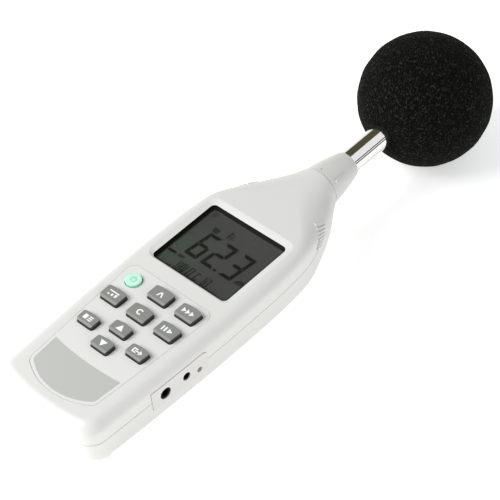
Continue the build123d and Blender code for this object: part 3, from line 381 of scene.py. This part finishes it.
def liquidCrystal(look):
    # the cell as it looks switched on with no light behind: grey, and greener in one corner
    # where the polariser lets the backlight's tint through
    material, tree = startMaterial("grey liquid crystal cell")
    low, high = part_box("lcd_glass")
    coords = addNode(tree, "ShaderNodeTexCoord").outputs["Object"]
    corner = Vector((low[0] + look["patchInMm"] * mm, low[1] + look["patchUpMm"] * mm, high[2]))
    away = addNode(tree, "ShaderNodeVectorMath", {"operation": "SUBTRACT"},
                   links={0: coords})
    away.inputs[1].default_value = corner
    squeezed = addNode(tree, "ShaderNodeVectorMath", {"operation": "MULTIPLY"},
                       links={0: away.outputs[0]})
    squeezed.inputs[1].default_value = (1.0, look["patchSquash"], 0.0)
    reach = addNode(tree, "ShaderNodeVectorMath", {"operation": "LENGTH"},
                    links={0: squeezed.outputs[0]})
    near = addNode(tree, "ShaderNodeMapRange", {"interpolation_type": "SMOOTHSTEP"},
                   values={"From Min": look["patchMm"] * mm,
                           "From Max": look["patchCoreMm"] * mm,
                           "To Min": 0.0, "To Max": 1.0},
                   links={"Value": reach.outputs["Value"]})
    mesh = addNode(tree, "ShaderNodeTexNoise",
                   values={"Scale": perMetre(look["grainMm"]), "Detail": 2.0},
                   links={"Vector": coords})
    field = addNode(tree, "ShaderNodeMix", {"data_type": "RGBA"},
                    links={"Factor": near.outputs["Result"]})
    field.inputs["A"].default_value = hexToLinear(look["field"])
    field.inputs["B"].default_value = hexToLinear(look["patch"])
    speck = addNode(tree, "ShaderNodeMapRange",
                    values={"To Min": 1 - look["speckle"], "To Max": 1 + look["speckle"]},
                    links={"Value": mesh.outputs["Fac"]})
    colour = addNode(tree, "ShaderNodeVectorMath", {"operation": "SCALE"},
                     links={0: field.outputs["Result"], "Scale": speck.outputs["Result"]})
    surface = addNode(tree, "ShaderNodeBsdfPrincipled",
                      values={"Roughness": 0.45, "Specular IOR Level": 0.1},
                      links={"Base Color": colour.outputs[0]})
    closeMaterial(tree, surface.outputs["BSDF"])
    return material


def clearAcrylic(look):
    # polished acrylic: the eye sees through it, and lamps reach what is behind it
    material, tree = startMaterial("clear polished acrylic")
    coords = addNode(tree, "ShaderNodeTexCoord").outputs["Object"]
    wave = addNode(tree, "ShaderNodeTexNoise",
                   values={"Scale": perMetre(look["waveMm"]), "Detail": 1.0},
                   links={"Vector": coords})
    bump = addNode(tree, "ShaderNodeBump", values={"Strength": 0.15, "Distance": 0.01 * mm},
                   links={"Height": wave.outputs["Fac"]})
    glass = addNode(tree, "ShaderNodeBsdfPrincipled",
                    values={"Base Color": hexToLinear(look["colour"]),
                            "Roughness": look["roughness"], "IOR": look["ior"],
                            "Transmission Weight": 1.0},
                    links={"Normal": bump.outputs["Normal"]})
    openWay = addNode(tree, "ShaderNodeBsdfTransparent")
    rays = addNode(tree, "ShaderNodeLightPath")
    both = addNode(tree, "ShaderNodeMixShader", links={0: rays.outputs["Is Shadow Ray"],
                                                      1: glass.outputs["BSDF"],
                                                      2: openWay.outputs["BSDF"]})
    closeMaterial(tree, both.outputs["Shader"])
    return material


def printInk(name, colour, roughness=0.5, specular=0.5):
    # silk-screened ink: flat, with the slight unevenness of the screen
    material, tree = startMaterial(name)
    coords = addNode(tree, "ShaderNodeTexCoord").outputs["Object"]
    screen = addNode(tree, "ShaderNodeTexNoise", values={"Scale": perMetre(0.25), "Detail": 1.0},
                     links={"Vector": coords})
    gloss = addNode(tree, "ShaderNodeMapRange",
                    values={"To Min": roughness - 0.08, "To Max": roughness + 0.08},
                    links={"Value": screen.outputs["Fac"]})
    surface = addNode(tree, "ShaderNodeBsdfPrincipled",
                      values={"Base Color": hexToLinear(colour),
                              "Specular IOR Level": specular},
                      links={"Roughness": gloss.outputs["Result"]})
    closeMaterial(tree, surface.outputs["BSDF"])
    return material


def openCellFoam(look):
    # black reticulated polyurethane: matt struts round deep pits, no gloss, soft at the rim; the
    # pits carry painted shade and the struts' strongest spots painted glints
    material, tree = startMaterial("black open-cell foam")
    coords = addNode(tree, "ShaderNodeTexCoord").outputs["Object"]
    strut = addNode(tree, "ShaderNodeAttribute", {"attribute_name": "strut"})
    glintAndBumpNoise = addNode(tree, "ShaderNodeTexNoise",
                   values={"Scale": perMetre(look["poreMm"]), "Detail": 3.0, "Roughness": 0.7},
                   links={"Vector": coords})
    # painted glints: bright specks only where a strut and the noise are both strong; everything
    # else takes the pits' painted shade
    lit = addNode(tree, "ShaderNodeMath", {"operation": "MULTIPLY"},
                  links={0: strut.outputs["Fac"], 1: glintAndBumpNoise.outputs["Fac"]})
    share = addNode(tree, "ShaderNodeMapRange", values={"From Min": 0.36, "From Max": 0.62},
                    links={"Value": lit.outputs["Value"]})
    colour = addNode(tree, "ShaderNodeMix", {"data_type": "RGBA"},
                     links={"Factor": share.outputs["Result"]})
    colour.inputs["A"].default_value = hexToLinear(look["pit"])
    colour.inputs["B"].default_value = hexToLinear(look["strut"])
    bump = addNode(tree, "ShaderNodeBump", values={"Strength": 0.9, "Distance": 0.25 * mm},
                   links={"Height": glintAndBumpNoise.outputs["Fac"]})
    surface = addNode(tree, "ShaderNodeBsdfPrincipled",
                      values={"Roughness": 0.95, "Specular IOR Level": 0.1,
                              "Sheen Weight": look["sheen"], "Sheen Roughness": 0.5,
                              "Sheen Tint": hexToLinear("#C8C6BE")},
                      links={"Base Color": colour.outputs["Result"],
                             "Normal": bump.outputs["Normal"]})
    closeMaterial(tree, surface.outputs["BSDF"])
    return material


crystalLook = {"field": "#363736", "patch": "#353C37", "patchInMm": 6.0, "patchUpMm": 5.0,
               "patchMm": 20.0, "patchCoreMm": 3.0, "patchSquash": 0.62, "grainMm": 0.7,
               "speckle": 0.06}
lensLook = {"colour": "#FBFCFA", "roughness": 0.02, "ior": 1.42, "waveMm": 9}
# pit: the darker colour, painted shade in the cells; strut: the colour of the painted glints
foamLook = {"poreMm": 0.9, "pit": "#030303", "strut": "#34342F", "sheen": 0.015}
display = {
    "cell": liquidCrystal(crystalLook),
    "lens": clearAcrylic(lensLook),
    "segment": printInk("dark liquid crystal segment", "#080808", 0.5, 0.1),
    "ghost": printInk("half-dark liquid crystal segment", "#1C1D1C", 0.5, 0.1),
    # the faint ink also draws a painted reflection on the display
    "ghostFaintAndReflection": printInk("faint liquid crystal segment and painted reflection", "#2A2B2A", 0.5, 0.1),
}
whiteInk = printInk("white silk-screen ink", "#F4F4F0", 0.45)
foam = openCellFoam(foamLook)
boardGreen = circuitBoardGreen()
print("materials made")

finishOf = {
    "front_case": moulded["case"], "back_case": moulded["case"], "battery_door": moulded["case"],
    "nose_cone": moulded["cone"], "port_plate": moulded["plate"],
    "keypad_overlay": moulded["overlay"], "label_plate": moulded["label"],
    "power_key": silicone["mint"], "keypad_web": silicone["web"],
    "lcd_window": display["lens"], "lcd_gasket": silicone["gasket"],
    "lcd_glass": display["cell"], "lcd_backlight": moulded["diffuser"],
    "zebra_strips": silicone["zebra"], "main_board": boardGreen, "preamp_board": boardGreen,
    "board_chips": glossy["chip"], "signal_plug": moulded["connector"],
    "board_screws": metal["zinc"], "case_screws": metal["zinc"],
    "tripod_insert": metal["brass"], "battery_contacts": metal["spring"],
    "red_lead": silicone["redWire"], "black_lead": silicone["blackWire"],
    "signal_leads": silicone["greyWire"], "power_jack": glossy["jack"],
    "output_jack": glossy["jack"], "trimmer_body": glossy["trimmer"],
    # the trimmer's rotor takes the black jack finish: painted shade for the dark hole it sits in
    "trimmer_rotor": glossy["jack"], "mic_barrel": metal["chrome"],
    "barrel_nut": metal["brass"], "mic_capsule": metal["grid"], "mic_grid": metal["grid"],
    "mic_diaphragm": metal["spring"], "mic_insulator": glossy["insulator"],
    "mic_backplate": metal["brass"], "windscreen": foam, "back_label": metal["foil"],
}
for node in nodes:
    if node.endswith("_key") and node != "power_key":
        finishOf[node] = silicone["grey"]
    if node.startswith("battery_") and node[-1].isdigit():
        finishOf[node] = glossy["cell"]
for node, piece in nodes.items():
    piece.data.materials.clear()
    piece.data.materials.append(finishOf[node])
print("CAD nodes finished")


# display: figures and marks of the liquid crystal

digitLook = {
    "figures": ["6", "2", "3"],
    "leftX": [-14.7, -4.2, 7.3],     # left edge of each figure's foot
    "footY": 16.1, "height": 17.2, "width": 8.0, "stroke": 1.95,
    "lean": 0.11,                    # sideways shift for each mm of height
    "pointX": 4.9, "gap": 0.12,
}
litSegments = {"6": "afgcde", "2": "abged", "3": "abgcd"}


def segmentOutline(letter, look):
    # one of seven bars, mitred where bars meet, before the lean
    w, h, s, g = look["width"], look["height"], look["stroke"], look["gap"]
    middle = h / 2
    return {
        "a": [(g, h), (w - g, h), (w - s - g, h - s), (s + g, h - s)],
        "d": [(g, 0), (s + g, s), (w - s - g, s), (w - g, 0)],
        "g": [(s * 0.5 + g, middle), (s + g, middle + s / 2), (w - s - g, middle + s / 2),
              (w - s * 0.5 - g, middle), (w - s - g, middle - s / 2), (s + g, middle - s / 2)],
        "f": [(0, h - g), (s, h - s - g), (s, middle + s / 2 + g), (s * 0.5, middle + g),
              (0, middle + g)],
        "b": [(w, h - g), (w, middle + g), (w - s * 0.5, middle + g),
              (w - s, middle + s / 2 + g), (w - s, h - s - g)],
        "e": [(0, g), (0, middle - g), (s * 0.5, middle - g), (s, middle - s / 2 - g),
              (s, s + g)],
        "c": [(w, g), (w - s, s + g), (w - s, middle - s / 2 - g), (w - s * 0.5, middle - g),
              (w, middle - g)],
    }[letter]


def leaned(outlines, look):
    foot, lean = look["footY"], look["lean"]
    return [[(x + (y - foot) * lean, y) for x, y in outline] for outline in outlines]


figureBars = []
for figure, left in zip(digitLook["figures"], digitLook["leftX"]):
    for letter in litSegments[figure]:
        figureBars += shifted([segmentOutline(letter, digitLook)], left, digitLook["footY"])
figureBars.append(box(digitLook["pointX"] - 0.7, digitLook["footY"],
                      digitLook["pointX"] + 0.7, digitLook["footY"] + 1.5))
figureBars = leaned(figureBars, digitLook)

markLook = {"scaleLeft": -11.6, "scaleFoot": 5.9, "scaleTall": 5.6, "scaleStroke": 0.55}


def scaleMarks(look):
    # the short bar scale and small figures along the foot of the display
    x, y, tall, stroke = (look["scaleLeft"], look["scaleFoot"], look["scaleTall"],
                          look["scaleStroke"])
    upright = [(0.3, 1.0), (1.6, 0.92), (2.9, 1.0), (4.2, 0.95), (5.3, 0.9), (7.5, 0.95),
               (9.4, 0.95), (12.2, 0.9), (17.2, 1.0), (18.4, 0.7), (20.2, 0.95)]
    bars = [bar(x + px, y, x + px + 0.5, y + tall * share, stroke) for px, share in upright]
    ties = [(1.6, 2.9, 0.5), (2.9, 4.2, 0.95), (4.2, 5.3, 0.1), (7.5, 9.4, 0.95),
            (7.5, 9.4, 0.08), (12.2, 14.4, 0.1), (12.2, 14.0, 0.85), (18.4, 20.2, 0.95)]
    bars += [bar(x + a + share * 0.4, y + tall * share, x + b + share * 0.4, y + tall * share,
                 stroke * 0.9) for a, b, share in ties]
    return bars


darkMarks = [bar(-4.6, 35.4, -4.2, 39.9, 0.75),
             [(-22.6, 12.6), (-16.8, 12.6), (-16.6, 14.2), (-21.6, 14.2)]]
darkMarks += scaleMarks(markLook)
ghostMarks = [[(-13.0, 34.1), (-10.2, 34.1), (-10.0, 37.2), (-13.9, 37.3), (-13.7, 35.2)],
              wedgeArc(20.6, 16.6, 3.2, 0, 180),
              [(-15.8, 12.6), (-11.6, 12.6), (-11.2, 14.3), (-15.2, 14.3)]]
# the square at the upper left is a painted reflection: a dim glint on the lens, drawn in faint
# segment ink
faintMarkAndReflection = [wedgeArc(-3.6, 37.2, 2.3, -70, 90) + [(-3.6, 35.2)],
              [(-20.8, 41.2), (-18.4, 41.2), (-18.2, 44.6), (-20.6, 44.8)]]

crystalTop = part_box("lcd_glass")[1][2]
inkLow, inkHigh = crystalTop + 0.02 * mm, crystalTop + 0.06 * mm
for name, outlines, ink in [("displayFigures", figureBars + darkMarks, display["segment"]),
                            ("displayHalfMarks", ghostMarks, display["ghost"]),
                            ("displayFaintMarkAndReflection", faintMarkAndReflection, display["ghostFaintAndReflection"])]:
    printedPiece(name, outlines, inkLow, inkHigh, ink, "case")
print("display drawn")


# legends on the keys, plain signs in mm about each key's centre

keySigns = {
    "a_key": [bar(-1.35, -1.6, 0.05, 1.75, 0.75), bar(1.35, -1.6, -0.05, 1.75, 0.75)],
    "c_key": [arcBand(0, 0, 0.95, 1.7, 40, 320)],
    "fast_key": [arrowHead(-3.5, 0, 2.9, 2.1), arrowHead(-1.1, 0, 2.9, 2.1),
                 arrowHead(1.3, 0, 2.9, 2.1)],
    "slow_key": [box(-3.2, -1.4, -2.3, 1.4), box(-1.5, -1.4, -0.6, 1.4),
                 arrowHead(0.4, 0, 2.9, 2.6)],
    "max_key": [box(-2.9, 0.85, 2.9, 1.5), box(-2.7, -1.4, -1.5, -0.7), box(-0.6, -1.4, 0.6, -0.1),
                box(1.5, -1.4, 2.7, 0.5)],
    "mem_key": [box(-2.7, -1.35, -0.6, 1.35), box(0.2, -1.35, 2.5, -0.75), box(0.2, -0.3, 2.5, 0.3),
                box(0.2, 0.75, 2.5, 1.35)],
    "read_key": [box(-2.8, -1.3, -2.1, 1.3), box(-2.1, 0.65, -0.3, 1.3),
                 box(-2.1, -1.3, -0.3, -0.65), bar(-1.4, 0, 1.4, 0, 0.6),
                 [(1.2, -1.4), (3.0, 0.0), (1.2, 1.4)]],
    "up_key": [[(-2.0, -1.5), (2.0, -1.5), (0.0, 1.9)]],
    "down_key": [[(-2.0, 1.5), (0.0, -1.9), (2.0, 1.5)]],
}
signRise = 0.05 * mm
signSink = 0.02 * mm
powerSignRise = 0.15 * mm
for key, sign in keySigns.items():
    low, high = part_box(key)
    centre = ((low[0] + high[0]) / 2 / mm, (low[1] + high[1]) / 2 / mm)
    printedPiece(key + "Sign", shifted(sign, *centre), high[2] - signSink, high[2] + signRise,
                 whiteInk, key)

low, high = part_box("power_key")
centre = ((low[0] + high[0]) / 2 / mm, (low[1] + high[1]) / 2 / mm)
powerSign = [arcBand(0, 0, 1.15, 1.6, 120, 420), box(-0.22, 0.5, 0.22, 2.0)]
printedPiece("power_keySign", shifted(powerSign, *centre), high[2] - signSink,
             high[2] + powerSignRise, silicone["mintMark"], "power_key")
print("key signs drawn")


# foam windscreen: open cells as real relief

ballLook = {"turns": 440, "ringMm": 0.56, "cellMm": 1.15, "cellDepthMm": 0.34,
            "lumpMm": 0.12, "mouthRadiusMm": 0.4, "boreRoomMm": 0.12, "tipRoomMm": 2.0,
            "tipRings": 8, "mouthRings": 9, "boreRingSteps": 2.5, "wallShare": 0.42,
            "borePaintedShade": 0.3,
            "lumpWaves": [((410.0, 260.0, 350.0), 0.0), ((-300.0, 430.0, 220.0), 1.3)]}


def cellDistances(points, size):
    # distance to the nearest and second nearest cell centre, one centre per grid box
    scaled = points / size
    corner = np.floor(scaled)
    first = np.full(len(points), 9.0)
    second = np.full(len(points), 9.0)
    for dx in (-1, 0, 1):
        for dy in (-1, 0, 1):
            for dz in (-1, 0, 1):
                place = corner + (dx, dy, dz)
                seed = place @ np.array([127.1, 311.7, 74.7])
                jitter = np.stack([np.modf(np.abs(np.sin(seed + k) * 43758.5453))[0]
                                   for k in (0.0, 17.3, 51.9)], axis=1)
                gap = np.linalg.norm(scaled - place - jitter, axis=1)
                second = np.minimum(second, np.maximum(first, gap))
                first = np.minimum(first, gap)
    return first, second


def foamBall(look):
    low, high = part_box("windscreen")
    radius = (high[0] - low[0]) / 2
    axisX, axisZ = (low[0] + high[0]) / 2, (low[2] + high[2]) / 2
    centreY = high[1] - radius
    barrelLow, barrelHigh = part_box("mic_barrel")
    bore = (barrelHigh[0] - barrelLow[0]) / 2 + look["boreRoomMm"] * mm
    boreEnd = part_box("mic_grid")[1][1] + look["tipRoomMm"] * mm
    rounding = look["mouthRadiusMm"] * mm
    # the mouth's rounding sits between the bore's wall and the ball
    reach = bore + rounding
    inner = radius - rounding
    mouthY = centreY - math.sqrt(inner ** 2 - reach ** 2)
    meet = math.atan2(reach, centreY - mouthY)
    step = look["ringMm"] * mm
    tipRings = look["tipRings"]
    profile = [(bore * i / tipRings, boreEnd, 0.0) for i in range(1, tipRings)]
    boreRings = int((boreEnd - mouthY) / (step * look["boreRingSteps"]))
    profile += [(bore, boreEnd + (mouthY - boreEnd) * i / boreRings, 0.0)
                for i in range(boreRings + 1)]
    for i in range(1, look["mouthRings"] + 1):
        share = i / look["mouthRings"]
        angle = math.pi - share * (math.pi / 2 + meet)
        profile.append((reach + rounding * math.cos(angle), mouthY - rounding * math.sin(angle),
                        share))
    ringCount = int(radius * (math.pi - meet) / step)
    for i in range(1, ringCount):
        angle = meet + (math.pi - meet) * i / ringCount
        profile.append((radius * math.sin(angle), centreY - radius * math.cos(angle), 1.0))

    turns = look["turns"]
    around = np.arange(turns) * 2 * math.pi / turns
    rings = np.array([(r, y) for r, y, _ in profile])
    effect = np.repeat(np.array([e for _, _, e in profile]), turns)
    points = np.stack([
        (rings[:, :1] * np.cos(around)).ravel(),
        np.repeat(rings[:, 1], turns) - centreY,
        (rings[:, :1] * np.sin(around)).ravel()], axis=1)
    points = np.vstack([points, [(0.0, boreEnd - centreY, 0.0), (0.0, radius, 0.0)]])
    effect = np.append(effect, [0.0, 1.0])

    first, second = cellDistances(points, look["cellMm"] * mm)
    wall = np.clip((second - first) / look["wallShare"], 0.0, 1.0)
    strut = 1.0 - wall * wall * (3 - 2 * wall)
    lump = sum(np.sin(points @ np.array(wave) + phase) for wave, phase in look["lumpWaves"]) / 2
    height = -(1.0 - strut) * look["cellDepthMm"] * mm + (lump - 1.0) * look["lumpMm"] * mm
    outward = points / np.maximum(np.linalg.norm(points, axis=1, keepdims=True), 1e-9)
    points = points + outward * (height * effect)[:, None]
    points += np.array([axisX, centreY, axisZ])

    count = len(profile)
    index = np.arange(count * turns).reshape(count, turns)
    nextTurn = np.roll(index, -1, axis=1)
    quads = np.stack([index[:-1], nextTurn[:-1], nextTurn[1:], index[1:]], axis=-1)
    faces = quads.reshape(-1, 4).tolist()
    tipIn, tipOut = count * turns, count * turns + 1
    faces += [[tipIn, int(b), int(a)] for a, b in zip(index[0], nextTurn[0])]
    faces += [[tipOut, int(a), int(b)] for a, b in zip(index[-1], nextTurn[-1])]
    ball = makePiece("foamBall", points, faces, foam, "windscreen", smooth=True)
    # the strut mask also sets the foam's colour: painted shade in the pits, painted glints on the
    # struts, and the bore gets the pits' painted shade
    ball.data.attributes.new("strut", "FLOAT", "POINT").data.foreach_set(
        "value", (strut * effect + look["borePaintedShade"] * (1 - effect)).astype(np.float32))
    return ball


ball = foamBall(ballLook)
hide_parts("windscreen")
print("foam ball made:", len(ball.data.polygons), "faces")


# studio: pale floor, soft light

floorLook = {"half": 6.0, "tailInMm": 5, "dropMm": 0.2, "colour": "#F7F8F6", "roughness": 0.9,
             "glow": 0.46}

# the meter lies on the ball and on its tail, so the floor is a plane under both
low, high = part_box("windscreen")
ballRadius = (high[2] - low[2]) / 2
ballY, ballZ = high[1] - ballRadius, (high[2] + low[2]) / 2
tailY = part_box("back_case")[0][1] + floorLook["tailInMm"] * mm
slope = math.atan2(ballZ, ballY - tailY) - math.asin(
    ballRadius / math.hypot(ballY - tailY, ballZ))
floorMesh = bpy.data.meshes.new("floor")
half = floorLook["half"]
floorMesh.from_pydata([(-half, -half, 0), (half, -half, 0), (half, half, 0), (-half, half, 0)],
                      [], [(0, 1, 2, 3)])
floor = bpy.data.objects.new("floor", floorMesh)
scene.collection.objects.link(floor)
floor.location = (0, tailY, -floorLook["dropMm"] * mm)
floor.rotation_euler = (slope, 0, 0)
paper, tree = startMaterial("white paper sweep")
paperSkin = addNode(tree, "ShaderNodeBsdfPrincipled",
                    values={"Base Color": hexToLinear(floorLook["colour"]),
                            "Roughness": floorLook["roughness"], "Specular IOR Level": 0.0,
                            "Emission Color": hexToLinear("#FFFFFF"),
                            "Emission Strength": floorLook["glow"]})
closeMaterial(tree, paperSkin.outputs["BSDF"])
floorMesh.materials.append(paper)


lampAim = Vector((0, 40 * mm, 10 * mm))
flagAim = Vector((0, 130 * mm, 13 * mm))


def softBox(name, look):
    light = bpy.data.lights.new(name, "AREA")
    light.shape = "RECTANGLE"
    light.size, light.size_y = look["size"]
    light.energy = look["power"]
    light.color = hexToLinear(look["colour"])[:3]
    lamp = bpy.data.objects.new(name, light)
    scene.collection.objects.link(lamp)
    direction = Vector(look["from"]).normalized()
    lamp.location = lampAim + direction * look["distance"]
    lamp.rotation_mode = "QUATERNION"
    lamp.rotation_quaternion = direction.to_track_quat("Z", "Y")


softBox("keyBox", {"from": (-0.50, -0.62, 0.75), "distance": 1.3, "size": (0.8, 0.8),
                   "power": 14.5, "colour": "#FFFFFF"})
softBox("fillBox", {"from": (0.95, 0.05, 0.35), "distance": 1.6, "size": (1.1, 0.7),
                    "power": 4.0, "colour": "#FFFFFF"})


def flag(name, look):
    # dark board out of view, seen only as a reflection in polished faces
    direction = Vector(look["towards"]).normalized()
    sheet = bpy.data.meshes.new(name)
    w, h = look["size"][0] / 2, look["size"][1] / 2
    sheet.from_pydata([(-w, -h, 0), (w, -h, 0), (w, h, 0), (-w, h, 0)], [], [(0, 1, 2, 3)])
    board = bpy.data.objects.new(name, sheet)
    scene.collection.objects.link(board)
    board.location = flagAim + direction * look["distance"]
    board.rotation_mode = "QUATERNION"
    board.rotation_quaternion = direction.to_track_quat("Z", "Y")
    board.visible_camera = board.visible_diffuse = board.visible_shadow = False
    cloth, tree = startMaterial(name + " cloth")
    glow = addNode(tree, "ShaderNodeEmission",
                   values={"Color": hexToLinear(look["colour"]), "Strength": 1.0})
    closeMaterial(tree, glow.outputs["Emission"])
    sheet.materials.append(cloth)


flag("upperFlag", {"towards": (-0.50, 0.52, 0.70), "distance": 1.6, "size": (1.6, 1.5),
                   "colour": "#565241"})
for name, towards in (("sideFlagHigh", (0.79, 0.536, 0.31)), ("sideFlagLow", (0.84, 0.536, 0.06))):
    flag(name, {"towards": towards, "distance": 1.6, "size": (1.2, 0.2), "colour": "#050505"})

# white walls: brighter in reflections than as plain fill
wallsLook = {"colour": "#FBFCFF", "fill": 0.5, "reflected": 1.0}
world = bpy.data.worlds.new("studio")
scene.world = world
world.use_nodes = True
worldTree = world.node_tree
walls = worldTree.nodes["Background"]
walls.inputs["Color"].default_value = hexToLinear(wallsLook["colour"])
worldRays = addNode(worldTree, "ShaderNodeLightPath")
wallLight = addNode(worldTree, "ShaderNodeMapRange",
                    values={"To Min": wallsLook["fill"], "To Max": wallsLook["reflected"]},
                    links={"Value": worldRays.outputs["Is Glossy Ray"]})
worldTree.links.new(wallLight.outputs["Result"], walls.inputs["Strength"])

# camera: three-quarter view from above, over the side with the ports

cameraLook = {"azimuth": 47.92, "elevation": 46.506, "roll": 6.833, "distance": 0.84362,
              "aim": (2.14, 43.12, 13.0), "lens": 127.0}
azimuth, elevation, roll = (math.radians(cameraLook[k]) for k in ("azimuth", "elevation", "roll"))
back = Vector((math.sin(azimuth) * math.cos(elevation), -math.cos(azimuth) * math.cos(elevation),
               math.sin(elevation)))
lens = bpy.data.cameras.new("camera")
lens.lens, lens.sensor_width = cameraLook["lens"], 36.0
lens.clip_start, lens.clip_end = 0.01, 50.0
camera = bpy.data.objects.new("camera", lens)
scene.collection.objects.link(camera)
camera.location = Vector(cameraLook["aim"]) * mm + back * cameraLook["distance"]
camera.rotation_mode = "QUATERNION"
level = (-back).to_track_quat("-Z", "Y")
camera.rotation_quaternion = level @ Quaternion((0, 0, 1), -roll)
scene.camera = camera
print("studio ready")
